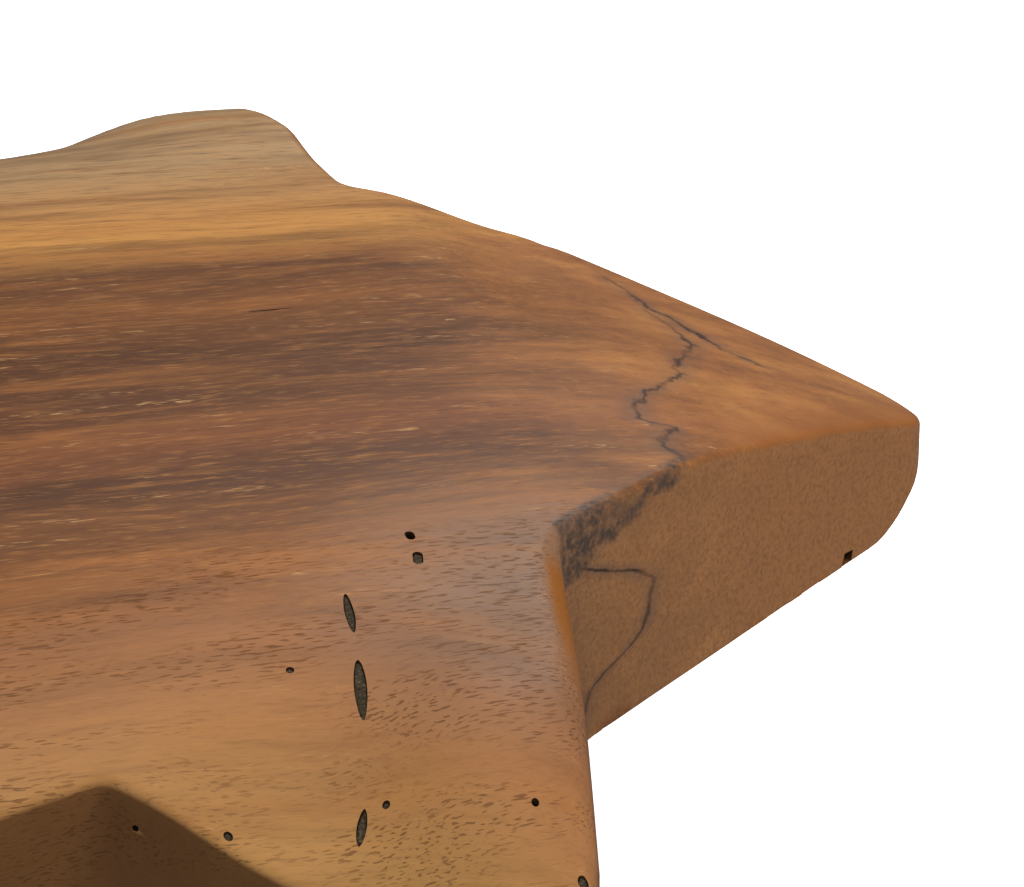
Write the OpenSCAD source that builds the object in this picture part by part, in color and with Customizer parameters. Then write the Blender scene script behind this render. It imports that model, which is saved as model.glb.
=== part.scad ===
// Four-legged headrest carved from one block of hardwood.
// Millimetres. +X runs along the grain towards one end lug, +Z is up.
// The origin is on the ground, midway between the four feet.

/* [Block] */
// Overall length, from the tip of one end lug to the other
block_length = 381; // [360:1:400]
// Height of the crown at the middle
crown_height = 87.3; // [80:0.1:95]
// Height of the flat underside that the legs stand down from
belly_height = 44; // [34:1:48]
// Radius worn onto the upper edge all round
edge_radius = 4; // [2:0.5:6]

/* [End lugs] */
// Distance from the middle to the notch beside each end lug
lug_root_x = 118; // [112:1:124]
// Half the width of an end lug at its root
lug_root_y = 57.3; // [52:0.1:62]
// Half the width of the blunt tip
lug_tip_half = 5.5; // [4:0.5:8]
// Distance from the middle to the crest where the top turns down
lug_crest_x = 144; // [138:1:150]
// Slope of the top beyond the crest, in degrees
lug_slope = 21; // [16:1:23]

/* [Legs] */
// Leg tip, along the length
leg_tip_x = 102.5; // [98:0.5:106]
// Leg tip, across the width
leg_tip_y = 131.5; // [126:0.5:136]
// Notch between leg and flank, along the length
flank_notch_x = 47.5; // [42:0.5:52]
// Notch between leg and flank, across the width
flank_notch_y = 94; // [90:0.5:98]
// Half the width over the flanks
flank_y = 104; // [99:1:108]
// Feet are this much of the outline above them
foot_taper = 0.94; // [0.9:0.01:1]

// Shoulder of the far legs, which are a little broader, along the length
far_shoulder_x = 116.5; // [115:0.5:117.5]
// Shoulder of the far legs, across the width
far_shoulder_y = 84; // [78:1:88]

/* [Arches] */
// Half the width of the arch that runs lengthwise, at its top
long_arch_half = 60; // [52:1:64]
// Half the width of the arch that runs crosswise, at its top
cross_arch_half = 48; // [40:1:52]
// How far each side of an arch leans out by the ground
arch_flare = 9; // [4:1:12]
// Radius in the upper corners of the arches
arch_radius = 10; // [6:1:14]

/* [Worm holes] */
// Diameter of the open holes
open_hole_d = 1.3; // [1:0.1:1.8]
// Depth of the open holes
open_hole_depth = 7; // [4:1:10]
// Depth of the filled holes and slots
fill_depth = 6; // [4:1:8]
// How far the filler has sunk below the wood
fill_sink = 0.2; // [0.1:0.05:0.4]

/* [Hidden] */

wood = "#9a6a44";
filler = "#6b6350";

long_curve = 0.0003; // crown fall along the length, per mm squared
cross_curve = 0.0009; // crown fall across the width, per mm squared
crest_start = 110; // where the fall towards the end lugs begins
crest_curve = 0.0019;
shoulder_start = 70.3; // where the fall towards the legs and flanks begins
shoulder_curve = 0.0064;
near_ridge = [6.5, 70, 30]; // the lug side of each leg stands up: height, where it starts, run
far_ridge = [6, 60, 45];
flank_dip = 2.3; // the flank side of each leg is hollowed by this much
lug_roll = 2.2; // the far side of each lug is worn this much lower
arc_steps = 5; // points on each rounded corner
edge_step = 15; // longest straight run on the outline
half_length = block_length / 2;

// Quarters of the outline, as [x, y, corner radius], from the end lug round to the flank
lug_corners = [[half_length, lug_tip_half, 6], [lug_root_x, lug_root_y, 5]];
leg_corners = [[leg_tip_x, leg_tip_y, 12], [flank_notch_x, flank_notch_y, 4]];
near_quarter = concat(lug_corners, leg_corners);
far_quarter = concat(lug_corners, [[far_shoulder_x, far_shoulder_y, 16]], leg_corners);

function reversed(list) = [for (i = [len(list) - 1 : -1 : 0]) list[i]];
function flip(list, sx, sy) = [for (p = list) [sx * p[0], sy * p[1], p[2]]];

corners = concat(
    far_quarter,
    [[0, flank_y, 70]],
    reversed(flip(far_quarter, -1, 1)),
    flip(near_quarter, -1, -1),
    [[0, -flank_y, 70]],
    reversed(flip(near_quarter, 1, -1))
);

function xy(p) = [p[0], p[1]];
function unit(v) = v / norm(v);
function cross_z(a, b) = a[0] * b[1] - a[1] * b[0];

// Points of a round corner at b, between its neighbours a and c
function rounded(a, b, c, r, steps) =
    let (
        u = unit(a - b),
        v = unit(c - b),
        half_angle = acos(u * v) / 2,
        reach = r / tan(half_angle),
        middle = b + unit(u + v) * r / sin(half_angle),
        turn = 180 - 2 * half_angle,
        way = cross_z(-u, v) > 0 ? 1 : -1,
        start = b + u * reach - middle
    )
    [for (i = [0 : steps - 1])
        let (t = way * turn * i / (steps - 1))
        middle + [start[0] * cos(t) - start[1] * sin(t), start[0] * sin(t) + start[1] * cos(t)]];

function rounded_outline(list, steps) =
    let (n = len(list))
    [for (i = [0 : n - 1])
        each rounded(xy(list[(i + n - 1) % n]), xy(list[i]), xy(list[(i + 1) % n]), list[i][2], steps)];

// Straight runs are divided so that the crown can curve along them
function divided(list, step) =
    let (n = len(list))
    [for (i = [0 : n - 1])
        let (
            a = list[i],
            b = list[(i + 1) % n],
            parts = max(1, ceil(norm(b - a) / step))
        )
        each [for (k = [0 : parts - 1]) a + (b - a) * k / parts]];

outline = divided(rounded_outline(corners, arc_steps), edge_step);
spokes = len(outline);

function past(value, start) = max(0, value - start);
function smooth(t) = let (c = min(1, max(0, t))) c * c * (3 - 2 * c);

function crest_z(x) =
    crown_height - long_curve * x * x - crest_curve * pow(past(x, crest_start), 2);

function along(x) =
    x < lug_crest_x ? crest_z(x) : crest_z(lug_crest_x) - (x - lug_crest_x) * tan(lug_slope);

// Height of the carved top at a point
function crown(p) =
    let (
        x = abs(p[0]),
        y = abs(p[1]),
        side_ridge = p[1] > 0 ? far_ridge : near_ridge,
        ridge = side_ridge[0] * smooth((x - side_ridge[1]) / side_ridge[2]) * smooth((y - 70) / 30),
        dip = flank_dip * smooth((y - 82) / 16) * smooth((x - 50) / 15) * smooth((98 - x) / 22),
        roll = lug_roll * smooth((p[1] + 12) / 36) * smooth((x - 122) / 16)
    )
    along(x) - cross_curve * y * y - shoulder_curve * pow(past(y, shoulder_start), 2) + ridge - dip - roll;

// Worn edge: how far the top falls at a distance in from the outline
function wear(inset) =
    inset >= edge_radius ? 0 : edge_radius - sqrt(pow(edge_radius, 2) - pow(edge_radius - inset, 2));

ring_insets = [0, 0.3, 1.2, 2.4, 4];
inner_rings = [0.92, 0.82, 0.7, 0.56, 0.4, 0.22];

function top_ring_inset(d) =
    [for (p = outline) let (q = p - unit(p) * d) [q[0], q[1], crown(q) - wear(d)]];
function top_ring_scaled(t) =
    [for (p = outline) let (q = p * t) [q[0], q[1], crown(q)]];
function flat_ring(t, z) = [for (p = outline) [p[0] * t, p[1] * t, z]];

rings = concat(
    [flat_ring(foot_taper, 0), flat_ring(1, belly_height - 4)],
    [for (d = ring_insets) top_ring_inset(d)],
    [for (t = inner_rings) top_ring_scaled(t)]
);

// Solid under the carved top, with the outline's walls, down to the ground
module carved_top() {
    points = concat([for (r = rings) each r], [[0, 0, 0], [0, 0, crown([0, 0])]]);
    base_centre = len(points) - 2;
    top_centre = len(points) - 1;
    last = (len(rings) - 1) * spokes;
    walls = [for (k = [0 : len(rings) - 2], i = [0 : spokes - 1])
        let (
            j = (i + 1) % spokes,
            a = k * spokes + i,
            b = k * spokes + j,
            c = a + spokes,
            d = b + spokes
        )
        each [[a, c, b], [b, c, d]]];
    base = [for (i = [0 : spokes - 1]) [base_centre, i, (i + 1) % spokes]];
    top = [for (i = [0 : spokes - 1]) [top_centre, last + (i + 1) % spokes, last + i]];
    polyhedron(points = points, faces = concat(walls, base, top));
}

// Mouth of an arch, standing on the ground line
module arch_mouth(half) {
    out = half + arch_flare;
    below = 5;
    polygon(concat(
        [[-out, -below], [out, -below]],
        rounded([out, 0], [half, belly_height], [-half, belly_height], arch_radius, arc_steps),
        rounded([half, belly_height], [-half, belly_height], [-out, 0], arch_radius, arc_steps)
    ));
}

module arches() {
    reach = block_length + 20;
    rotate([90, 0, 90])
        linear_extrude(height = reach, center = true)
            arch_mouth(long_arch_half);
    rotate([90, 0, 0])
        linear_extrude(height = reach, center = true)
            arch_mouth(cross_arch_half);
}

// Worm slots run across the grain: [one end, other end, width]
upper_slot = [[85.5, -68.3], [84.6, -75.5], 1.1];
middle_slot = [[83.4, -82.5], [82, -90], 1.5];
lower_slot = [[78.9, -101.8], [77.6, -104.6], 1.1];
oval_hole = [[97, -60.6], [97.3, -62], 1.2];

// Round holes: [place, diameter]
open_holes = [[[97.5, -56], open_hole_d], [[99.4, -108.3], 1]];
filled_pin_holes = [
    [[74.7, -81.3], 0.9],
    [[81.8, -101.9], 0.8],
    [[61.5, -101.5], 1],
    [[103, -117.2], 1.2]
];

// A hole in the wall of the notch between leg and flank
wall_hole = [50.8, -96.3, 68.5];
wall_hole_d = 0.9;

// Upright drill, from above the top down to a depth below it
module drill(place, d, depth) {
    clear = 2;
    translate([place[0], place[1], crown(place) - depth])
        cylinder(h = depth + clear, d = d, $fn = 24);
}

// Outline of a slot with round ends
function slot_outline(slot) =
    let (
        run = slot[1] - slot[0],
        heading = atan2(run[1], run[0]),
        turns = 8
    )
    [for (end = [0, 1], i = [0 : turns])
        let (t = heading + (end == 0 ? 90 : -90) + 180 * i / turns)
        slot[end] + [cos(t), sin(t)] * slot[2] / 2];

// Upright slot cutter, from above the top down to a depth below it
module slot_cutter(slot, depth) {
    clear = 2;
    low = min(crown(slot[0]), crown(slot[1])) - depth;
    high = max(crown(slot[0]), crown(slot[1])) + clear;
    translate([0, 0, low])
        linear_extrude(height = high - low)
            polygon(slot_outline(slot));
}

module wall_drill() {
    inward = -atan2(leg_tip_y - flank_notch_y, leg_tip_x - flank_notch_x); // square to the wall
    translate(wall_hole)
        rotate([0, 0, inward])
            rotate([-90, 0, 0])
                translate([0, 0, -2])
                    cylinder(h = open_hole_depth, d = wall_hole_d, $fn = 24);
}

// What lies more than the sink below the carved top
module below_top() {
    translate([0, 0, -fill_sink])
        carved_top();
}

module carved_block() {
    color(wood)
        difference() {
            carved_top();
            arches();
            for (slot = [upper_slot, middle_slot, lower_slot, oval_hole])
                slot_cutter(slot, fill_depth);
            for (hole = filled_pin_holes)
                drill(hole[0], hole[1], fill_depth);
            for (hole = open_holes)
                drill(hole[0], hole[1], open_hole_depth);
            wall_drill();
        }
}

module slot_fill(slot) {
    color(filler)
        intersection() {
            slot_cutter(slot, fill_depth);
            below_top();
        }
}

module upper_slot_fill() { slot_fill(upper_slot); }
module middle_slot_fill() { slot_fill(middle_slot); }
module lower_slot_fill() { slot_fill(lower_slot); }
module oval_hole_fill() { slot_fill(oval_hole); }

module pin_hole_fills() {
    color(filler)
        intersection() {
            for (hole = filled_pin_holes)
                drill(hole[0], hole[1], fill_depth);
            below_top();
        }
}

carved_block();
upper_slot_fill();
middle_slot_fill();
lower_slot_fill();
oval_hole_fill();
pin_hole_fills();
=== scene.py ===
import bpy
import bmesh
import math
from mathutils import Matrix, Vector, noise
from mathutils.bvhtree import BVHTree


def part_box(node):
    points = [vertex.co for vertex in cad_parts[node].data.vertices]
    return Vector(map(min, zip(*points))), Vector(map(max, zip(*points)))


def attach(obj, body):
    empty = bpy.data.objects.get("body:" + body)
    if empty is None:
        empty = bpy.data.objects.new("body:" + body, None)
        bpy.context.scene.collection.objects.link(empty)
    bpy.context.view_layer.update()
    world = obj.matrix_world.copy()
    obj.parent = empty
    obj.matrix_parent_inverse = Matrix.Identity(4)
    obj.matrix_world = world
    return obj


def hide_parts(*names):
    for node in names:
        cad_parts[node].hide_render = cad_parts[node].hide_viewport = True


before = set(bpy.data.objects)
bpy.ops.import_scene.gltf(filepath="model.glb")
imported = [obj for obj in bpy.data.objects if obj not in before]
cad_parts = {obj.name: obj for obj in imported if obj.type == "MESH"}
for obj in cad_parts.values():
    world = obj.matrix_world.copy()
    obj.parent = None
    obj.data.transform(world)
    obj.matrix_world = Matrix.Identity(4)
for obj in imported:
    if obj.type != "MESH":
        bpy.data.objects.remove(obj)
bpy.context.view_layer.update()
scene = bpy.context.scene
mm = 0.001
print("frame loaded")


def linear(hexColour):
    channels = [int(hexColour[i:i + 2], 16) / 255 for i in (1, 3, 5)]
    return tuple([c / 12.92 if c <= 0.04045 else ((c + 0.055) / 1.055) ** 2.4 for c in channels]) + (1.0,)


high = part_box("carved_block")[1]
block = {
    "lugTip": (high.x / mm, 5.5, 6),  # x, y and corner radius of each outline corner, in mm
    "lugRoot": (118, 57.3, 5),
    "legTip": (102.5, 131.5, 12),
    "farShoulder": (116.5, 84, 16),  # the far legs are a little broader than the near ones
    "flankNotch": (47.5, 94, 3),
    "flankMid": (0, 104, 70),
    "crownHeight": high.z / mm,
    "bellyHeight": 44,
    "nearRidge": (6.5, 70, 30),  # the lug side of each leg stands up: height, where it starts, run
    "farRidge": (6, 60, 45),
    "ridgeAcross": (70, 30),
    "lugRoll": 2.2,  # the far side of each lug is worn this much lower
    "lugRollAlong": (122, 16),  # where it starts and its run
    "lugRollAcross": (-12, 36),
    "flankDip": 2.3,  # the flank side of each leg is hollowed by this much
    "dipAcross": (82, 16),
    "dipStart": (50, 15),
    "dipEnd": (98, -22),
    "lengthBend": 0.0003,  # fall of the crown per mm squared
    "endBend": (110, 0.0019),  # and more of it from here on
    "widthBend": 0.0009,
    "shoulderBend": (70.3, 0.0064),
    "toeReach": 11,  # the underside of each lug curves up over this length
    "toeLift": 9,
    "toeHeight": (58, -15),  # and below this height
    "crestX": 144,  # the top turns down here, towards each end lug
    "crestSlope": 21,  # degrees
    "crestSoft": 4,
    "tipFrom": 162,  # handling wore each lug's tip lower, mostly on its far side
    "tipWear": 0.0029,
    "tipAcross": (-6, 12),
    "footTaper": 0.94,
    "taperFrom": 38,  # the legs narrow below this height
    "rimInsets": (0.1, 0.32, 0.65, 1.1, 1.9, 3, 4.3),  # rings across the worn rim
    "rimRadius": 1.1,
    "rimExtra": 3.2,  # the leg's edge beside each lug is worn rounder
    "rimExtraFar": 0.3,  # but less on the far side
    "rimExtraAcross": (52, 14),
    "rimExtraAlong": (98, 10),
    "outlineStep": 2.2,
    "wallRings": 14,
    "crownRings": 52,
    "archHalf": (60, 48),  # lengthwise and crosswise, at the ceiling
    "archFlare": 9,
    "archRadius": 10,
    "archStep": 5,
    "archBevel": 1.1,
    "archBelow": -6,  # the arches are cut from below the soles, and from beyond both ends
    "archBeyond": 210,
    "sharpFrom": 32,  # degrees
    "weld": 0.05,
    "cornerWeld": 0.8,
    "undulation": 0.16,  # how far the blade left the surface uneven
    "undulationSize": 26,
    "smoothUpTo": 40,  # degrees
}


def addNode(tree, kind, inputs, out=0, **settings):  # inputs are given by name or by number
    node = tree.nodes.new("ShaderNode" + kind)
    for key, value in settings.items():
        setattr(node, key, value)
    for key, value in inputs.items():
        if isinstance(value, bpy.types.NodeSocket):
            tree.links.new(value, node.inputs[key])
        else:
            node.inputs[key].default_value = value
    return node.outputs[out]


def newMaterial(name):
    material = bpy.data.materials.new(name)
    material.use_nodes = True
    return material, material.node_tree, material.node_tree.nodes["Principled BSDF"].inputs


def shrink(sizes):  # the mapping scale that makes a noise this coarse
    return tuple(1 / size for size in sizes)


def span(values, first=1):  # numbers the values of a range as node inputs: start, end, then the values there
    return {first + place: value for place, value in enumerate(values)}


# Brown heartwood, cut with an adze, scraped, oiled and rubbed by use. The eye sees long dark and orange heart
# bands, short dark vessel marks, a few chalky ones and a low soft sheen. Lengths and places are in mm.
grain = {
    # across the width, from the near leg to the far one: the colour of each band; the greyish last one, on
    # the far side, is partly pale wood and partly painted sheen
    "bands": [(-100, "#a37744"), (-84, "#9c6b41"), (-70, "#91603b"), (-62, "#7a4d2a"), (-55, "#8c572b"),
              (-47, "#6c4222"), (-39, "#583620"), (-29, "#774625"), (-16, "#5c371e"), (0, "#573319"),
              (12, "#7a4a23"), (24, "#603a1f"), (38, "#c48a46"), (50, "#bd8548"), (72, "#ab8961")],
    "bandSpan": 100,
    "wander": (150, 45, 60),  # the fibres drift over these lengths
    "drift": 15,
    "curlFrom": 60,  # the heart's edge curves round each leg, and the fibres follow it weakly
    "bandCurl": (-52, -72, 0, 0.0153),
    "fibreCurl": (-60, -85, 0, 0.00612),
    "lug": "#9c6437",  # the lugs are plainer
    "lugFrom": (120, 148),
    "raggedSize": (55, 9, 20),
    "ragged": (-26, 26),
    "cloudSize": (22, 9, 9),
    "clouds": [((0.48, 0.66, 0, 0.9), "#7f4f2d"), ((0.5, 0.34, 0, 0.9), "#b0763f")],
    "ash": "#8a6c56",  # the near leg's shoulder is paler greyish wood with a painted sheen on it
    "paleSheenPlace": (110, -72, 80),
    "paleSheenReach": (10, 36, 0.75, 0),
    # along, across and through, where a streak starts and is full, its colour and its strength
    "streaks": [((95, 8, 14), 0.48, 0.68, "#452a18", 0.5),
                ((85, 7, 12), 0.50, 0.70, "#a86a33", 0.42),
                ((34, 2.1, 3), 0.50, 0.74, "#472a18", 0.34),
                ((30, 1.8, 2.6), 0.52, 0.76, "#b57436", 0.3),
                ((6, 0.5, 0.6), 0.48, 0.72, "#4a2c1a", 0.42),
                ((5, 0.42, 0.5), 0.50, 0.74, "#c68a50", 0.34)],
    "streakShift": (7.3, 3.1, 5.7),  # each set of streaks starts elsewhere in the noise
    "legCalm": (-58, -68, 0, 0.62),  # the legs, the lugs and the shoulder with its painted sheen have fainter streaks
    "lugCalm": (1, 0.55),
    "paleSheenCalm": -0.8,
    "leastStreaks": 0.2,
    "vessel": "#57351f",
    "vesselSize": (2.2, 0.34, 0.34),  # the cut leaves marks of about 1.5 by 0.2 mm, as in the real timber
    "vesselCut": (0.585, 0.675),
    "vesselStrength": 0.6,
    "vesselFrom": (-48, -62, 0.16, 1),  # few in the heart, many on the near legs
    "clumpSize": (26, 9, 9),
    "clumpCut": (0.42, 0.62, 0.15, 1),
    "chalk": "#d2a26a",
    "chalkSize": (2.8, 0.28, 0.28),
    "chalkCut": (0.58, 0.7, 0, 0.75),
    "rowSize": (45, 1.7, 1.7),  # the chalky vessels lie in rows
    "rowCut": (0.62, 0.74),
    "crease": "#8d5427",
    "creaseDepth": (0.5, 9, 0.75, 0),
    "creaseFrom": (34, 48),
    # painted shade: the upright walls away from the lugs are darker
    "paintedWallShade": "#513014",
    # the lug walls: duller end grain, partly painted light where the side lamp falls
    "wall": "#a3754d",
    # the rounded edge beside each lug: oil-soaked wear, darkened further as painted shade
    "edge": "#8a521c",
    "mottle": "#714a2c",
    "mottleSize": 0.7,  # end grain on the lug's side wall
    "mottleCut": (0.42, 0.7),
    "rough": (0.43, 0.7),  # rubbed wood, and an open vessel
    "fibreRough": 0.25,
    "fibreRelief": 0.5,
}

# Thin black lines where two fungi met in the timber, and the grey stain that one left at the lug's root
fungus = {
    "line": "#2b1b11",
    "lineEdge": (0.12, 0.8, 0.92, 0),  # distance from its middle: fades from here, gone here, then strengths
    "halo": "#5b4a42",
    "haloEdge": (0.3, 3.6, 0.6, 0),
    # each line across the top of the lug: across the width and along the length
    "topLines": [[(-40, 143.5), (-38, 141), (-35.5, 139.5), (-33, 141), (-30, 142.5), (-28.5, 138.5),
                  (-26, 138.5), (-23, 140), (-20, 141.5), (-18.5, 144), (-16, 146.5), (-12, 149.5),
                  (-6.5, 151.5), (-2, 154), (2.5, 156.5), (5, 156), (10, 155), (15, 153)],
                 [(0, 166), (3.5, 162), (8, 160), (10, 158.5), (15, 156.5), (17, 154), (20.5, 153),
                  (27, 151)]],
    "topWindow": (-46, 32, 125, 175),  # the least and most of both, over all of these lines
    # the line on the lug's near wall: height, and along the wall from its root
    "wallLine": [(45, 4), (48, 5.5), (51.5, 7), (53, 10), (54.5, 16), (56, 19), (60, 20.5), (63, 21.5),
                 (66, 17.5), (68.5, 11.5), (71, 6.5)],
    "wallWindow": (40, 76, 0, 30),
    "wallDepth": (1, 2.2, 1, 0),  # how far in from the wall its line reaches
    "wallFrom": (-3, 1),
    "lineFade": 1,
    "wiggleScale": 0.35,  # scales are per mm
    "wiggle": (-2.6, 2.6),
    "wallWiggle": 0.35,  # the wall's line is smoother
    "patchyScale": 0.16,
    "patchy": (0.36, 0.6, 0.45, 1),
    "stain": "#433934",
    "stainSlant": -0.3,  # its lower edge climbs along the wall
    "stainEdge": (68.2, 70.2),
    "stainAlong": ((-1, 0.6), (39, 33)),
    "stainDepth": (2.6, 1.2),
    "stainRaggedScale": 0.22,
    "stainRagged": (-4, 4),
    "mottleScale": 0.7,
    "mottle": (0.36, 0.58, 0.25, 0.95),
    "clearAbove": (71, 73.5),  # away from the root it clears above its lower edge
    "clearAlong": (9, 17, 0, 0.72),
}


def bendCurve(node, points, lowIn, highIn, lowOut, highOut):  # sets a curve's points, in mm
    curve = node.mapping.curves[0]
    scaled = [((a - lowIn) / (highIn - lowIn), (b - lowOut) / (highOut - lowOut)) for a, b in points]
    for index, place in enumerate(scaled):
        point = curve.points[index] if index < 2 else curve.points.new(*place)
        point.location = place
        point.handle_type = "VECTOR"
    node.mapping.update()


def zoneLines(tree, place, wallPlace):  # returns masks of the thin lines and of the grey halo beside them
    x, y = [addNode(tree, "SeparateXYZ", {0: place}, out=axis) for axis in (0, 1)]
    s, depth, z = [addNode(tree, "SeparateXYZ", {0: wallPlace}, out=axis) for axis in range(3)]
    onWall = addNode(tree, "MapRange", {0: depth, **span(fungus["wallDepth"])})
    offWall = addNode(tree, "Math", {0: 1.0, 1: onWall}, operation="SUBTRACT")
    nearRoot = addNode(tree, "MapRange", {0: s, **span(fungus["wallFrom"])})
    onWall = addNode(tree, "Math", {0: onWall, 1: nearRoot}, operation="MULTIPLY")
    wiggle = addNode(tree, "TexNoise", {"Vector": place, "Scale": fungus["wiggleScale"], "Detail": 3.0,
                                        "Roughness": 0.65})
    wiggle = addNode(tree, "MapRange", {0: wiggle, **span(fungus["wiggle"], 3)})
    wallWiggle = addNode(tree, "Math", {0: wiggle, 1: fungus["wallWiggle"]}, operation="MULTIPLY")
    patchy = addNode(tree, "TexNoise", {"Vector": place, "Scale": fungus["patchyScale"], "Detail": 2.0})
    patchy = addNode(tree, "MapRange", {0: patchy, **span(fungus["patchy"])})
    lines = [(course, y, x, fungus["topWindow"], offWall, wiggle) for course in fungus["topLines"]]
    lines.append((fungus["wallLine"], z, s, fungus["wallWindow"], onWall, wallWiggle))
    masks = {"line": 0.0, "halo": 0.0}
    for course, along, across, window, mask, bends in lines:
        share = addNode(tree, "MapRange", {0: along, **span(window[:2])})
        curve = addNode(tree, "FloatCurve", {"Value": share})
        bendCurve(curve.node, course, *window)
        middle = addNode(tree, "MapRange", {0: curve, **span(window[2:], 3)})
        offset = addNode(tree, "Math", {0: across, 1: middle}, operation="SUBTRACT")
        offset = addNode(tree, "Math", {0: offset, 1: bends}, operation="ADD")
        offset = addNode(tree, "Math", {0: offset}, operation="ABSOLUTE")
        for end, beyond in ((min(course)[0], -fungus["lineFade"]), (max(course)[0], fungus["lineFade"])):
            inside = addNode(tree, "MapRange", {0: along, 1: end + beyond, 2: end})
            mask = addNode(tree, "Math", {0: mask, 1: inside}, operation="MULTIPLY")
        for name in masks:
            near = addNode(tree, "MapRange", {0: offset, **span(fungus[name + "Edge"])})
            near = addNode(tree, "Math", {0: near, 1: mask}, operation="MULTIPLY")
            near = addNode(tree, "Math", {0: near, 1: patchy}, operation="MULTIPLY")
            masks[name] = addNode(tree, "Math", {0: masks[name], 1: near}, operation="MAXIMUM")
    return masks["line"], masks["halo"]


def stainMask(tree, place, wallPlace):  # dark at the lug's root, under the rounded edge, and mottled beyond
    s, depth, z = [addNode(tree, "SeparateXYZ", {0: wallPlace}, out=axis) for axis in range(3)]
    level = addNode(tree, "Math", {0: s, 1: fungus["stainSlant"], 2: z}, operation="MULTIPLY_ADD")
    ragged = addNode(tree, "TexNoise", {"Vector": place, "Scale": fungus["stainRaggedScale"], "Detail": 3.0})
    ragged = addNode(tree, "MapRange", {0: ragged, **span(fungus["stainRagged"], 3)})
    level = addNode(tree, "Math", {0: level, 1: ragged}, operation="ADD")
    mottle = addNode(tree, "TexNoise", {"Vector": place, "Scale": fungus["mottleScale"], "Detail": 4.0,
                                        "Roughness": 0.7})
    mottle = addNode(tree, "MapRange", {0: mottle, **span(fungus["mottle"])})
    clear = addNode(tree, "MapRange", {0: level, **span(fungus["clearAbove"])})
    away = addNode(tree, "MapRange", {0: s, **span(fungus["clearAlong"])})
    clear = addNode(tree, "Math", {0: clear, 1: away}, operation="MULTIPLY")
    left = addNode(tree, "Math", {0: 1.0, 1: clear}, operation="SUBTRACT")
    mask = addNode(tree, "Math", {0: mottle, 1: left}, operation="MULTIPLY")
    begins, stops = fungus["stainAlong"]
    edges = ((level, fungus["stainEdge"]), (s, begins), (s, stops), (depth, fungus["stainDepth"]))
    for value, limits in edges:
        soft = addNode(tree, "MapRange", {0: value, **span(limits)}, interpolation_type="SMOOTHSTEP")
        mask = addNode(tree, "Math", {0: mask, 1: soft}, operation="MULTIPLY")
    return mask


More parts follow.
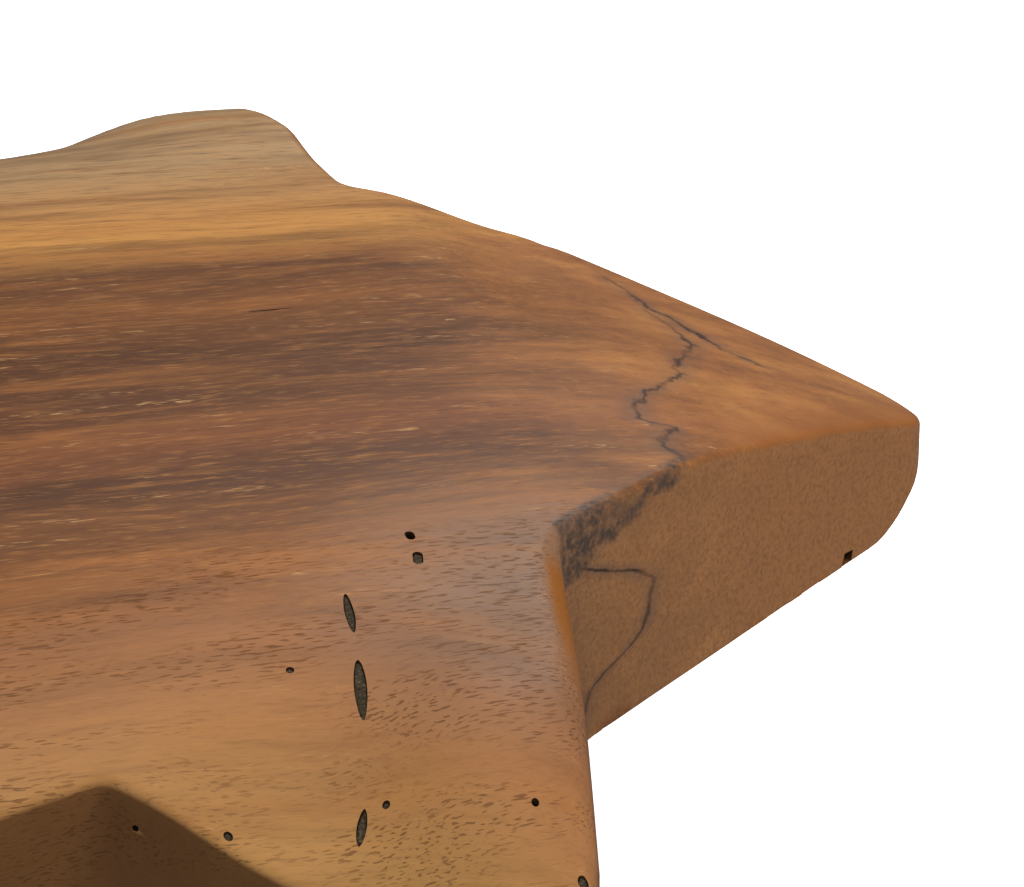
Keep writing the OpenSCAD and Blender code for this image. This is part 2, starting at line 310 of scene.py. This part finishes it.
def woodMaterial():
    wood, tree, shader = newMaterial("oiledHandRubbedHeartwood")
    place = addNode(tree, "TexCoord", {}, out="Object")
    place = addNode(tree, "Mapping", {"Vector": place, "Scale": (1 / mm, 1 / mm, 1 / mm)})
    root, tip = block["lugRoot"], block["lugTip"]
    heading = math.atan2(root[1] - tip[1], tip[0] - root[0])
    wallPlace = addNode(tree, "Mapping", {"Vector": place, "Location": (root[0], -root[1], 0),
                                          "Rotation": (0, 0, heading)}, vector_type="TEXTURE")
    x, y, z = [addNode(tree, "SeparateXYZ", {0: place}, out=axis) for axis in range(3)]
    s, depth = [addNode(tree, "SeparateXYZ", {0: wallPlace}, out=axis) for axis in (0, 1)]
    farX = addNode(tree, "Math", {0: x}, operation="ABSOLUTE")

    # where the fibres run
    wander = addNode(tree, "Mapping", {"Vector": place, "Scale": shrink(grain["wander"])})
    wander = addNode(tree, "TexNoise", {"Vector": wander, "Scale": 1.0, "Detail": 2.0})
    wander = addNode(tree, "MapRange", {0: wander, 3: -grain["drift"] / 2, 4: grain["drift"] / 2})
    across = addNode(tree, "Math", {0: y, 1: wander}, operation="ADD")
    past = addNode(tree, "Math", {0: farX, 1: grain["curlFrom"]}, operation="SUBTRACT")
    past = addNode(tree, "Math", {0: past, 1: 0.0}, operation="MAXIMUM")
    past = addNode(tree, "Math", {0: past, 1: past}, operation="MULTIPLY")
    curl = addNode(tree, "MapRange", {0: y, **span(grain["bandCurl"])})
    band = addNode(tree, "Math", {0: past, 1: curl, 2: across}, operation="MULTIPLY_ADD")
    curl = addNode(tree, "MapRange", {0: y, **span(grain["fibreCurl"])})
    across = addNode(tree, "Math", {0: past, 1: curl, 2: across}, operation="MULTIPLY_ADD")
    fibres = addNode(tree, "CombineXYZ", {0: x, 1: across, 2: z})

    # heart bands, plainer lugs and a pale shoulder with a painted sheen
    share = addNode(tree, "MapRange", {0: band, 1: -grain["bandSpan"], 2: grain["bandSpan"]})
    colour = addNode(tree, "ValToRGB", {0: share})
    stops = colour.node.color_ramp.elements
    while len(stops) > 1:
        stops.remove(stops[-1])
    stops[0].color = linear(grain["bands"][0][1])
    for where, shade in grain["bands"][1:]:
        stops.new((where + grain["bandSpan"]) / (2 * grain["bandSpan"])).color = linear(shade)
    ragged = addNode(tree, "Mapping", {"Vector": fibres, "Scale": shrink(grain["raggedSize"])})
    ragged = addNode(tree, "TexNoise", {"Vector": ragged, "Scale": 1.0, "Detail": 3.0})
    ragged = addNode(tree, "MapRange", {0: ragged, **span(grain["ragged"], 3)})
    ragged = addNode(tree, "Math", {0: farX, 1: ragged}, operation="ADD")
    onLug = addNode(tree, "MapRange", {0: ragged, **span(grain["lugFrom"])})
    cloud = addNode(tree, "Mapping", {"Vector": place, "Scale": shrink(grain["cloudSize"])})
    cloud = addNode(tree, "TexNoise", {"Vector": cloud, "Scale": 1.0, "Detail": 4.0, "Roughness": 0.6})
    layers = [(onLug, grain["lug"])]
    for limits, shade in grain["clouds"]:
        mask = addNode(tree, "MapRange", {0: cloud, **span(limits)})
        layers.append((addNode(tree, "Math", {0: mask, 1: onLug}, operation="MULTIPLY"), shade))
    ash = addNode(tree, "VectorMath", {0: place, 1: grain["paleSheenPlace"]}, out=1, operation="DISTANCE")
    ash = addNode(tree, "MapRange", {0: ash, **span(grain["paleSheenReach"])})
    layers.append((ash, grain["ash"]))

    # fibre streaks
    calm = addNode(tree, "MapRange", {0: band, **span(grain["legCalm"])})
    heart = addNode(tree, "MapRange", {0: onLug, **span(grain["lugCalm"], 3)})
    heart = addNode(tree, "Math", {0: heart, 1: calm}, operation="SUBTRACT")
    heart = addNode(tree, "Math", {0: ash, 1: grain["paleSheenCalm"], 2: heart}, operation="MULTIPLY_ADD")
    heart = addNode(tree, "Math", {0: heart, 1: grain["leastStreaks"]}, operation="MAXIMUM")
    for index, (size, start, full, shade, strength) in enumerate(grain["streaks"]):
        shift = tuple(step * index for step in grain["streakShift"])
        streak = addNode(tree, "Mapping", {"Vector": fibres, "Location": shift,
                                           "Scale": shrink(size)})
        streak = addNode(tree, "TexNoise", {"Vector": streak, "Scale": 1.0, "Detail": 3.0, "Roughness": 0.6})
        streak = addNode(tree, "MapRange", {0: streak, 1: start, 2: full, 3: 0.0, 4: strength},
                         interpolation_type="SMOOTHSTEP")
        layers.append((addNode(tree, "Math", {0: streak, 1: heart}, operation="MULTIPLY"), shade))

    # open vessels, dark on the legs and filled with chalk in the heart
    clump = addNode(tree, "Mapping", {"Vector": place, "Scale": shrink(grain["clumpSize"])})
    clump = addNode(tree, "TexNoise", {"Vector": clump, "Scale": 1.0, "Detail": 1.0})
    clump = addNode(tree, "MapRange", {0: clump, **span(grain["clumpCut"])})
    clump = addNode(tree, "Math", {0: clump, 1: ash}, operation="MAXIMUM")
    density = addNode(tree, "MapRange", {0: y, **span(grain["vesselFrom"])})
    density = addNode(tree, "Math", {0: density, 1: clump}, operation="MULTIPLY")
    vessels = addNode(tree, "Mapping", {"Vector": place, "Scale": shrink(grain["vesselSize"])})
    vessels = addNode(tree, "TexNoise", {"Vector": vessels, "Scale": 1.0, "Detail": 1.0, "Roughness": 0.4})
    vessels = addNode(tree, "MapRange", {0: vessels, **span(grain["vesselCut"])})
    vessels = addNode(tree, "Math", {0: vessels, 1: density}, operation="MULTIPLY")
    mask = addNode(tree, "Math", {0: vessels, 1: grain["vesselStrength"]}, operation="MULTIPLY")
    layers.append((mask, grain["vessel"]))
    rows = addNode(tree, "Mapping", {"Vector": fibres, "Scale": shrink(grain["rowSize"])})
    rows = addNode(tree, "TexNoise", {"Vector": rows, "Scale": 1.0, "Detail": 1.0})
    rows = addNode(tree, "MapRange", {0: rows, **span(grain["rowCut"])})
    chalk = addNode(tree, "Mapping", {"Vector": place, "Scale": shrink(grain["chalkSize"])})
    chalk = addNode(tree, "TexNoise", {"Vector": chalk, "Scale": 1.0, "Detail": 1.0})
    chalk = addNode(tree, "MapRange", {0: chalk, **span(grain["chalkCut"])})
    for share in (rows, heart):
        chalk = addNode(tree, "Math", {0: chalk, 1: share}, operation="MULTIPLY")
    layers.append((chalk, grain["chalk"]))

    # the rubbed edge beside each lug is a darker orange, partly oil-soaked wear and partly painted shade; the
    # walls away from the lugs carry painted shade, the lug walls a paler tone that is partly painted light;
    # the lug's crease is a deeper orange
    crease = addNode(tree, "MapRange", {0: depth, **span(grain["creaseDepth"])})
    along = addNode(tree, "MapRange", {0: s, **span(grain["creaseFrom"])})
    layers.append((addNode(tree, "Math", {0: crease, 1: along}, operation="MULTIPLY"), grain["crease"]))
    for name, shade in (("paintedWallShade", "paintedWallShade"), ("litLugWall", "wall"), ("rim", "edge")):
        layers.append((addNode(tree, "Attribute", {}, out="Fac", attribute_name=name), grain[shade]))
    mottle = addNode(tree, "TexNoise", {"Vector": place, "Scale": 1 / grain["mottleSize"], "Detail": 4.0})
    mottle = addNode(tree, "MapRange", {0: mottle, **span(grain["mottleCut"])})
    litLugWall = addNode(tree, "Attribute", {}, out="Fac", attribute_name="litLugWall")
    layers.append((addNode(tree, "Math", {0: mottle, 1: litLugWall}, operation="MULTIPLY"), grain["mottle"]))
    line, halo = zoneLines(tree, place, wallPlace)
    stain = stainMask(tree, place, wallPlace)
    layers += [(halo, fungus["halo"]), (stain, fungus["stain"]), (line, fungus["line"])]
    for mask, shade in layers:
        colour = addNode(tree, "Mix", {0: mask, 6: colour, 7: linear(shade)}, out=2, data_type="RGBA")
    tree.links.new(colour, shader["Base Color"])

    # the last, finest streaks stand up a little and vessels are small pits
    rough = addNode(tree, "MapRange", {0: vessels, **span(grain["rough"], 3)})
    rough = addNode(tree, "Math", {0: streak, 1: grain["fibreRough"], 2: rough}, operation="MULTIPLY_ADD")
    tree.links.new(rough, shader["Roughness"])
    shader["IOR"].default_value = 1.46
    relief = addNode(tree, "Math", {0: streak, 1: grain["fibreRelief"]}, operation="MULTIPLY")
    relief = addNode(tree, "Math", {0: relief, 1: vessels}, operation="SUBTRACT")
    bump = addNode(tree, "Bump", {"Height": relief, "Distance": 0.12 * mm, "Strength": 0.7})
    tree.links.new(bump, shader["Normal"])
    return wood


# Clay and sawdust pressed into the worm holes, dried and crumbly: matt, dark olive with paler grains
filling = {
    "base": "#3d3427",
    "dark": "#211b14",
    "darkCut": (0.46, 0.36),
    "crumb": "#625740",
    "crumbCut": (0.55, 0.68),
    "crumbSize": 0.35,  # mm
}


def fillerMaterial():
    filler, tree, shader = newMaterial("pressedClayFilling")
    place = addNode(tree, "TexCoord", {}, out="Object")
    size = 1 / (filling["crumbSize"] * mm)
    crumbs = addNode(tree, "TexNoise", {"Vector": place, "Scale": size, "Detail": 3.0, "Roughness": 0.6})
    colour = linear(filling["base"])
    for name in ("dark", "crumb"):
        mask = addNode(tree, "MapRange", {0: crumbs, **span(filling[name + "Cut"])})
        colour = addNode(tree, "Mix", {0: mask, 6: colour, 7: linear(filling[name])}, out=2, data_type="RGBA")
    tree.links.new(colour, shader["Base Color"])
    shader["Roughness"].default_value = 0.9
    bump = addNode(tree, "Bump", {"Height": crumbs, "Distance": 0.1 * mm, "Strength": 0.6})
    tree.links.new(bump, shader["Normal"])
    return filler


# Raw wood bored by worms and never sanded, painted near black as the shade inside the holes and in the gap
# round each filling: the holes stay dark and matt
boring = {
    "dust": "#1d130c",
    "wood": "#3a2a1c",
    "grainSize": 0.4,  # mm
}


def boreMaterial():
    bore, tree, shader = newMaterial("paintedShadeWormBore")
    place = addNode(tree, "TexCoord", {}, out="Object")
    dust = addNode(tree, "TexNoise", {"Vector": place, "Scale": 1 / (boring["grainSize"] * mm)})
    colour = addNode(tree, "Mix", {0: dust, 6: linear(boring["dust"]), 7: linear(boring["wood"])}, out=2,
                     data_type="RGBA")
    tree.links.new(colour, shader["Base Color"])
    shader["Roughness"].default_value = 0.95
    return bore


def ramp(value, start, run):  # rises softly from 0 to 1 over the run
    t = min(1, max(0, (value - start) / run))
    return t * t * (3 - 2 * t)


def crestZ(x):
    start, bend = block["endBend"]
    return block["crownHeight"] - block["lengthBend"] * x * x - bend * max(0, x - start) ** 2


def crown(x, y):  # height of the carved top, all in mm
    height, *ridgeAlong = block["farRidge"] if y > 0 else block["nearRidge"]
    roll = block["lugRoll"] * ramp(y, *block["lugRollAcross"])
    farShare = 0.5 + 0.5 * ramp(y, *block["tipAcross"])
    x, y = abs(x), abs(y)
    tip = block["tipWear"] * farShare * max(0, x - block["tipFrom"]) ** 2
    crest, soft = block["crestX"], block["crestSoft"]
    past = x - crest if x > crest + soft else max(0, x - crest + soft) ** 2 / (4 * soft)
    along = crestZ(min(x, crest)) - past * math.tan(math.radians(block["crestSlope"]))
    shoulder, bend = block["shoulderBend"]
    across = block["widthBend"] * y * y + bend * max(0, y - shoulder) ** 2
    ridge = height * ramp(x, *ridgeAlong) * ramp(y, *block["ridgeAcross"])
    dip = block["flankDip"] * ramp(y, *block["dipAcross"]) * ramp(x, *block["dipStart"])
    dip *= ramp(x, *block["dipEnd"])
    return along - across + ridge - dip - tip - roll * ramp(x, *block["lugRollAlong"])


def rimRadius(x, y):
    extra = block["rimExtra"] * (block["rimExtraFar"] if y > 0 else 1)
    extra *= ramp(abs(y), *block["rimExtraAcross"])
    return block["rimRadius"] + extra * ramp(abs(x), *block["rimExtraAlong"])


def rimWear(x, y, inset):
    r = rimRadius(x, y)
    return 0 if inset >= r else r - math.sqrt(r * r - (r - inset) ** 2)


def outlineFace(bm):
    near = [block["lugTip"], block["lugRoot"], block["legTip"], block["flankNotch"]]
    far = near[:2] + [block["farShoulder"]] + near[2:]
    corners = far + [block["flankMid"]] + [(-x, y, r) for x, y, r in reversed(far)]
    corners += [(-x, -y, r) for x, y, r in near]
    corners += [(0, -block["flankMid"][1], block["flankMid"][2])]
    corners += [(x, -y, r) for x, y, r in reversed(near)]
    verts = [bm.verts.new((x, y, 0)) for x, y, r in corners]
    bm.faces.new(verts).normal_update()
    for vert, (x, y, r) in zip(verts, corners):
        u, v = [(e.other_vert(vert).co - vert.co).normalized() for e in vert.link_edges]
        offset = r / math.tan(u.angle(v) / 2)
        bmesh.ops.bevel(bm, geom=[vert], offset=offset, offset_type="OFFSET", segments=6, profile=0.5,
                        affect="VERTICES", material=-1)
    divide(bm, bm.edges, block["outlineStep"])
    bm.faces.ensure_lookup_table()
    return bm.faces[0]


def divide(bm, edges, step):  # cuts each edge into equal parts no longer than the step
    for edge in list(edges):
        cuts = math.ceil(edge.calc_length() / step) - 1
        if cuts > 0:
            bmesh.ops.subdivide_edges(bm, edges=[edge], cuts=cuts)


def nextRing(bm, cap):  # extrudes the cap on the spot and returns the new one
    return bmesh.ops.extrude_discrete_faces(bm, faces=[cap])["faces"][0]


def carvedShell():
    bm = bmesh.new()
    cap = outlineFace(bm)
    outline = [v.co.copy() for v in cap.verts]
    rings, taper = block["wallRings"], block["taperFrom"]
    for ring in range(2 * rings + 1):
        if ring:
            cap = nextRing(bm, cap)
        share = ring / rings
        for v, p in zip(cap.verts, outline):
            scale = min(1, block["footTaper"] + (1 - block["footTaper"]) * share)
            rise = crown(p.x, p.y) - rimRadius(p.x, p.y) - taper
            height = taper * share if share <= 1 else taper + rise * (share - 1)
            v.co = Vector((p.x * scale, p.y * scale, height))
    done = 0
    for inset in block["rimInsets"]:
        bmesh.ops.inset_region(bm, faces=[cap], thickness=inset - done, use_even_offset=True)
        done = inset
        for v in cap.verts:
            v.co.z = crown(v.co.x, v.co.y) - rimWear(v.co.x, v.co.y, inset)
    inner = [v.co.copy() for v in cap.verts]
    for ring in range(1, block["crownRings"]):
        cap = nextRing(bm, cap)
        share = 1 - ring / block["crownRings"]
        for v, p in zip(cap.verts, inner):
            v.co = Vector((p.x * share, p.y * share, crown(p.x * share, p.y * share)))
    bmesh.ops.poke(bm, faces=[cap])
    bmesh.ops.holes_fill(bm, edges=[e for e in bm.edges if e.is_boundary])
    bmesh.ops.recalc_face_normals(bm, faces=bm.faces)
    return bm


def toObject(bm, name, material=None):
    mesh = bpy.data.meshes.new(name)
    bm.to_mesh(mesh)
    bm.free()
    piece = bpy.data.objects.new(name, mesh)
    scene.collection.objects.link(piece)
    if material:
        mesh.materials.append(material)
    return piece


def archCutter(name, half, turn):
    bm = bmesh.new()
    top, out = block["bellyHeight"], half + block["archFlare"]
    below, reach = block["archBelow"], block["archBeyond"]
    section = ((-out, below), (out, below), (half, top), (-half, top))
    verts = [bm.verts.new((-reach, y, z)) for y, z in section]
    bm.faces.new(verts)
    lean = math.atan2(top - below, block["archFlare"])
    offset = block["archRadius"] * math.tan(lean / 2)
    bmesh.ops.bevel(bm, geom=verts[2:], offset=offset, segments=8, profile=0.5, affect="VERTICES",
                    material=-1)
    divide(bm, [e for e in bm.edges if min(v.co.z for v in e.verts) > below], block["archStep"])
    geom = bmesh.ops.extrude_face_region(bm, geom=bm.faces[:], use_keep_orig=True)["geom"]
    farEnd = [v for v in geom if isinstance(v, bmesh.types.BMVert)]
    bmesh.ops.translate(bm, verts=farEnd, vec=(2 * reach, 0, 0))
    lengthwise = [e for e in bm.edges if e.calc_length() > reach]
    cuts = round(2 * reach / block["archStep"])
    bmesh.ops.subdivide_edges(bm, edges=lengthwise, cuts=cuts, use_grid_fill=True)
    bmesh.ops.rotate(bm, verts=bm.verts, matrix=Matrix.Rotation(math.radians(turn), 3, "Z"))
    bmesh.ops.recalc_face_normals(bm, faces=bm.faces)
    return toObject(bm, name)


def cut(piece, cutter):
    hole = piece.modifiers.new("cut", "BOOLEAN")
    hole.operation = "DIFFERENCE"
    hole.solver = "EXACT"
    hole.material_mode = "TRANSFER"
    hole.object = cutter
    old = piece.data
    finished = piece.evaluated_get(bpy.context.evaluated_depsgraph_get())
    piece.data = bpy.data.meshes.new_from_object(finished)
    piece.modifiers.clear()
    bpy.data.meshes.remove(old)
    bpy.data.objects.remove(cutter)


carvedBlock = toObject(carvedShell(), "carvedBlock", woodMaterial())
print("shell made", len(carvedBlock.data.polygons), "faces")
cut(carvedBlock, archCutter("longArch", block["archHalf"][0], 0))
cut(carvedBlock, archCutter("crossArch", block["archHalf"][1], 90))
print("arches cut")

bm = bmesh.new()
bm.from_mesh(carvedBlock.data)
bmesh.ops.remove_doubles(bm, verts=bm.verts, dist=block["weld"])
sharp = [e for e in bm.edges if e.is_manifold and e.calc_face_angle(0) > math.radians(block["sharpFrom"])
         and max(v.co.z for v in e.verts) < block["bellyHeight"] + 0.5]
corners = list({v for e in sharp for v in e.verts})
bmesh.ops.remove_doubles(bm, verts=corners, dist=block["cornerWeld"])
sharp = [e for e in sharp if e.is_valid and e.is_manifold]
bmesh.ops.bevel(bm, geom=sharp, offset=block["archBevel"], offset_type="OFFSET", segments=3, profile=0.5,
                affect="EDGES", clamp_overlap=True, material=-1)
for v in bm.verts:  # the toe of each lug is rounded up from below
    out = (abs(v.co.x) - (block["lugTip"][0] - block["toeReach"])) / block["toeReach"]
    if out > 0:
        v.co.z += block["toeLift"] * out * out * ramp(v.co.z, *block["toeHeight"])
bm.normal_update()
for v in bm.verts:  # uneven tool work, all but the flat soles
    if v.co.z > 0.5:
        v.co += v.normal * block["undulation"] * noise.noise(v.co / block["undulationSize"])
bmesh.ops.dissolve_degenerate(bm, dist=0.01, edges=bm.edges)
bm.normal_update()
surface = BVHTree.FromBMesh(bm)
bm.to_mesh(carvedBlock.data)
bm.free()
print("block worn", len(carvedBlock.data.polygons), "faces")

worm = {
    # widths; where each slot is comes from its own CAD node
    "slots": {"upper_slot_fill": 1.1, "middle_slot_fill": 1.5, "lower_slot_fill": 1.1, "oval_hole_fill": 1.2},
    # x, y and diameter
    "pins": [(74.7, -81.3, 0.9), (81.8, -101.9, 0.8), (61.5, -101.5, 1), (103, -117.2, 1.2)],
    "open": [((97.5, -55.75), (97.5, -56.4), 1.3), ((99.4, -108.3), (99.4, -108.3), 1)],  # both ends, width
    "openDepth": 7,
    "wallHole": (50.8, -96.3, 68.5),
    "wallHoleDiameter": 0.9,
    "check": ((91.3, 8.9), (97.7, 9.1), 0.3),  # a drying check on the crown
    "checkDepth": 1.2,
    "segments": 22,  # round each hole
    "pointed": 0.72,  # how far a long slot narrows towards its ends
    "clearance": 0.1,  # dark gap round each filling
    "fillDepth": 4,
    "sink": 0.24,
    "crumb": 0.35,  # size of the crumbs in the filling
    "crumbRise": 0.08,
    "rings": (0.85, 0.68, 0.5, 0.33, 0.16),  # across the top of each filling
    "plugDepth": 3.2,
    "smoothUpTo": 50,  # degrees
}


def topAt(x, y):  # height of the finished block
    return surface.ray_cast(Vector((x, y, 200)), Vector((0, 0, -1)))[0].z


def capsule(bm, start, end, width):  # flat face at height 0 with round ends, pointed when it is long
    start, end = Vector(start).to_3d(), Vector(end).to_3d()
    half = (end - start) / 2
    older = set(bm.faces)
    verts = bmesh.ops.create_circle(bm, cap_ends=True, radius=width / 2, segments=worm["segments"])["verts"]
    for v in verts:
        v.co += half if v.co.dot(half) > 0 else -half
    divide(bm, {e for v in verts for e in v.link_edges}, worm["crumb"])
    face = (set(bm.faces) - older).pop()
    for v in face.verts:
        if half.length > width:
            along = v.co.project(half)
            v.co -= (v.co - along) * worm["pointed"] * (along.length / (half.length + width / 2)) ** 2
        v.co += (start + end) / 2
    return face


def slotEnds(node):  # from the CAD node's own box
    width = worm["slots"][node]
    a, b = [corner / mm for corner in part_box(node)]
    inset = Vector((width / 2, width / 2))
    return b.xy - inset, a.xy + inset, width


def holeCutter():
    bm = bmesh.new()
    slots = [slotEnds(node) + (worm["fillDepth"],) for node in worm["slots"]]
    slots += [((x, y), (x, y), d, worm["fillDepth"]) for x, y, d in worm["pins"]]
    holes = [hole + (worm["openDepth"],) for hole in worm["open"]]
    holes.append(worm["check"] + (worm["checkDepth"],))
    for start, end, width, depth in slots + holes:
        gap = 2 * worm["clearance"] if depth == worm["fillDepth"] else 0
        face = capsule(bm, start, end, width + gap)
        verts = list(face.verts)
        heights = [topAt(v.co.x, v.co.y) for v in verts]
        new = bmesh.ops.extrude_face_region(bm, geom=[face], use_keep_orig=True)["geom"]
        top = [v for v in new if isinstance(v, bmesh.types.BMVert)]
        bmesh.ops.translate(bm, verts=verts, vec=(0, 0, min(heights) - depth))
        bmesh.ops.translate(bm, verts=top, vec=(0, 0, max(heights) + 1))
    wall = Vector(worm["wallHole"])
    tip, notch = block["legTip"], block["flankNotch"]
    inward = Vector((tip[1] - notch[1], tip[0] - notch[0], 0))  # square to the wall
    turn = inward.to_track_quat("Z", "Y").to_matrix().to_4x4()
    radius = worm["wallHoleDiameter"] / 2
    bmesh.ops.create_cone(bm, cap_ends=True, segments=worm["segments"], radius1=radius, radius2=radius,
                          depth=worm["openDepth"], matrix=Matrix.Translation(wall) @ turn)
    bmesh.ops.recalc_face_normals(bm, faces=bm.faces)
    return toObject(bm, "wormHoles", boreMaterial())


cut(carvedBlock, holeCutter())
bm = bmesh.new()
bm.from_mesh(carvedBlock.data)
bmesh.ops.scale(bm, verts=bm.verts, vec=(mm, mm, mm))
bm.to_mesh(carvedBlock.data)
bm.free()
carvedBlock.data.shade_smooth()
carvedBlock.data.set_sharp_from_angle(angle=math.radians(block["smoothUpTo"]))

wearAndShade = {
    # where each begins and its run, over the slope of the surface: 0 for a wall and 1 for level ground
    "upright": (0.1, 0.35),
    "rounded": ((0.95, -0.14), (0.03, 0.25)),
    # the same over the length and the width, in mm
    # the rounded edge beside each lug shows its wear and its painted shade here
    "besideLug": ((108, 5), (60, 6)),
    "lugSide": ((114, 5), (60, -3)),
    # strength of the painted shade on the walls away from the lugs
    "paintedWallShade": 0.75,
    # strength of the lug walls' paler tone, partly painted light
    "litLugWall": 0.55,
}


def wearAndShadeMasks(x, y, up):  # how far a place with this slope shows the worn edge, the painted shade on walls and the paler, partly lit lug walls
    upright = 1 - ramp(up, *wearAndShade["upright"])
    rounded = math.prod(ramp(up, *edge) for edge in wearAndShade["rounded"])
    besideLug, lugSide = [ramp(abs(x), *wearAndShade[name][0]) * ramp(abs(y), *wearAndShade[name][1])
                          for name in ("besideLug", "lugSide")]
    return {"rim": rounded * besideLug, "paintedWallShade": wearAndShade["paintedWallShade"] * upright * (1 - lugSide),
            "litLugWall": wearAndShade["litLugWall"] * upright * lugSide}


masks = [wearAndShadeMasks(v.co.x / mm, v.co.y / mm, v.normal.z) for v in carvedBlock.data.vertices]
for name in ("rim", "paintedWallShade", "litLugWall"):
    layer = carvedBlock.data.attributes.new(name, "FLOAT", "POINT")
    layer.data.foreach_set("value", [mask[name] for mask in masks])
print("block finished", len(carvedBlock.data.polygons), "faces")
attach(carvedBlock, "root")
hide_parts("carved_block")


def wormFill(name, node, slots):
    bm = bmesh.new()
    for start, end, width in slots:
        face = capsule(bm, start, end, width)
        border = list(face.verts)
        outline = [v.co.copy() for v in border]
        middle = (Vector(start).to_3d() + Vector(end).to_3d()) / 2
        for share in worm["rings"]:
            face = nextRing(bm, face)
            for v, p in zip(face.verts, outline):
                v.co = middle.lerp(p, share)
        bmesh.ops.poke(bm, faces=[face])
        rim = [e for v in border for e in v.link_edges if e.is_boundary]
        skirt = bmesh.ops.extrude_edge_only(bm, edges=list(set(rim)))["geom"]
        bottom = [v for v in skirt if isinstance(v, bmesh.types.BMVert)]
        for v in bm.verts:
            if v.co.z == 0 and v not in bottom:
                rise = worm["crumbRise"] * noise.noise(v.co / worm["crumb"])
                edge = worm["clearance"] if v in border else 0
                v.co.z = topAt(v.co.x, v.co.y) - worm["sink"] + rise - edge
        for v in bottom:
            v.co.z = topAt(v.co.x, v.co.y) - worm["plugDepth"]
        opening = {e for v in bottom for e in v.link_edges if e.is_boundary}
        bmesh.ops.contextual_create(bm, geom=list(opening))
    bmesh.ops.recalc_face_normals(bm, faces=bm.faces)
    bmesh.ops.scale(bm, verts=bm.verts, vec=(mm, mm, mm))
    piece = toObject(bm, name, fillerMaterial())
    piece.data.shade_smooth()
    piece.data.set_sharp_from_angle(angle=math.radians(worm["smoothUpTo"]))
    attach(piece, "root")
    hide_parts(node)


for node in worm["slots"]:
    first, *others = node.split("_")
    wormFill(first + "".join(word.capitalize() for word in others), node, [slotEnds(node)])
wormFill("pinHoleFills", "pin_hole_fills", [((x, y), (x, y), d) for x, y, d in worm["pins"]])
print("worm holes filled")

view = {
    "azimuth": -16.3,  # degrees
    "elevation": 28,
    "distance": 0.7,  # metres
    "target": (0.124, -0.0138, 0.07),
    "lens": 172.3,
    "sensor": 36,
}
az, el = math.radians(view["azimuth"]), math.radians(view["elevation"])
back = Vector((math.sin(az) * math.cos(el), -math.cos(az) * math.cos(el), math.sin(el)))
camera = bpy.data.objects.new("camera", bpy.data.cameras.new("camera"))
camera.data.sensor_width = view["sensor"]
camera.data.lens = view["lens"]
camera.location = Vector(view["target"]) + back * view["distance"]
camera.rotation_euler = (-back).to_track_quat("-Z", "Y").to_euler()
scene.collection.objects.link(camera)
scene.camera = camera
print("camera set")

# A plain white ground under broad soft lamps; only the lamp behind the object shows in its sheen
studio = {
    "ground": 6,  # half its width, in metres
    "paper": "#f3f3f3",
    "world": 0.16,
    "aim": (0.1, 0, 0.05),
    # place, width of the lamp, watts and whether the surface mirrors it
    "lamps": {"topLight": ((0.1, 0.1, 1.5), 1.0, 17, False),
              "sideLight": ((1.3, -0.8, 0.5), 0.6, 13, False),
              "backLight": ((0.75, 1.0, 1.15), 0.5, 3, True),
              "frontLight": ((-0.7, -1.3, 0.5), 0.8, 8, False)},
}
bm = bmesh.new()
bmesh.ops.create_grid(bm, x_segments=1, y_segments=1, size=studio["ground"])
paper = newMaterial("paper")[0]
sheet = paper.node_tree.nodes["Principled BSDF"].inputs
sheet["Base Color"].default_value = linear(studio["paper"])
sheet["Emission Color"].default_value = (1, 1, 1, 1)
sheet["Emission Strength"].default_value = 1.0
floor = toObject(bm, "floor", paper)
floor.visible_diffuse = False  # the ground lends the object no light
floor.visible_glossy = False

for name, (position, width, power, mirrored) in studio["lamps"].items():
    lamp = bpy.data.lights.new(name, "AREA")
    lamp.shape = "SQUARE"
    lamp.size = width
    lamp.energy = power
    piece = bpy.data.objects.new(name, lamp)
    piece.location = position
    piece.rotation_euler = (Vector(position) - Vector(studio["aim"])).to_track_quat("Z", "Y").to_euler()
    piece.visible_glossy = mirrored
    scene.collection.objects.link(piece)
world = bpy.data.worlds.new("studio")
world.use_nodes = True
background = world.node_tree.nodes["Background"].inputs
background["Color"].default_value = (1, 1, 1, 1)
background["Strength"].default_value = studio["world"]
scene.world = world
scene.view_settings.view_transform = "Standard"
print("lights set")
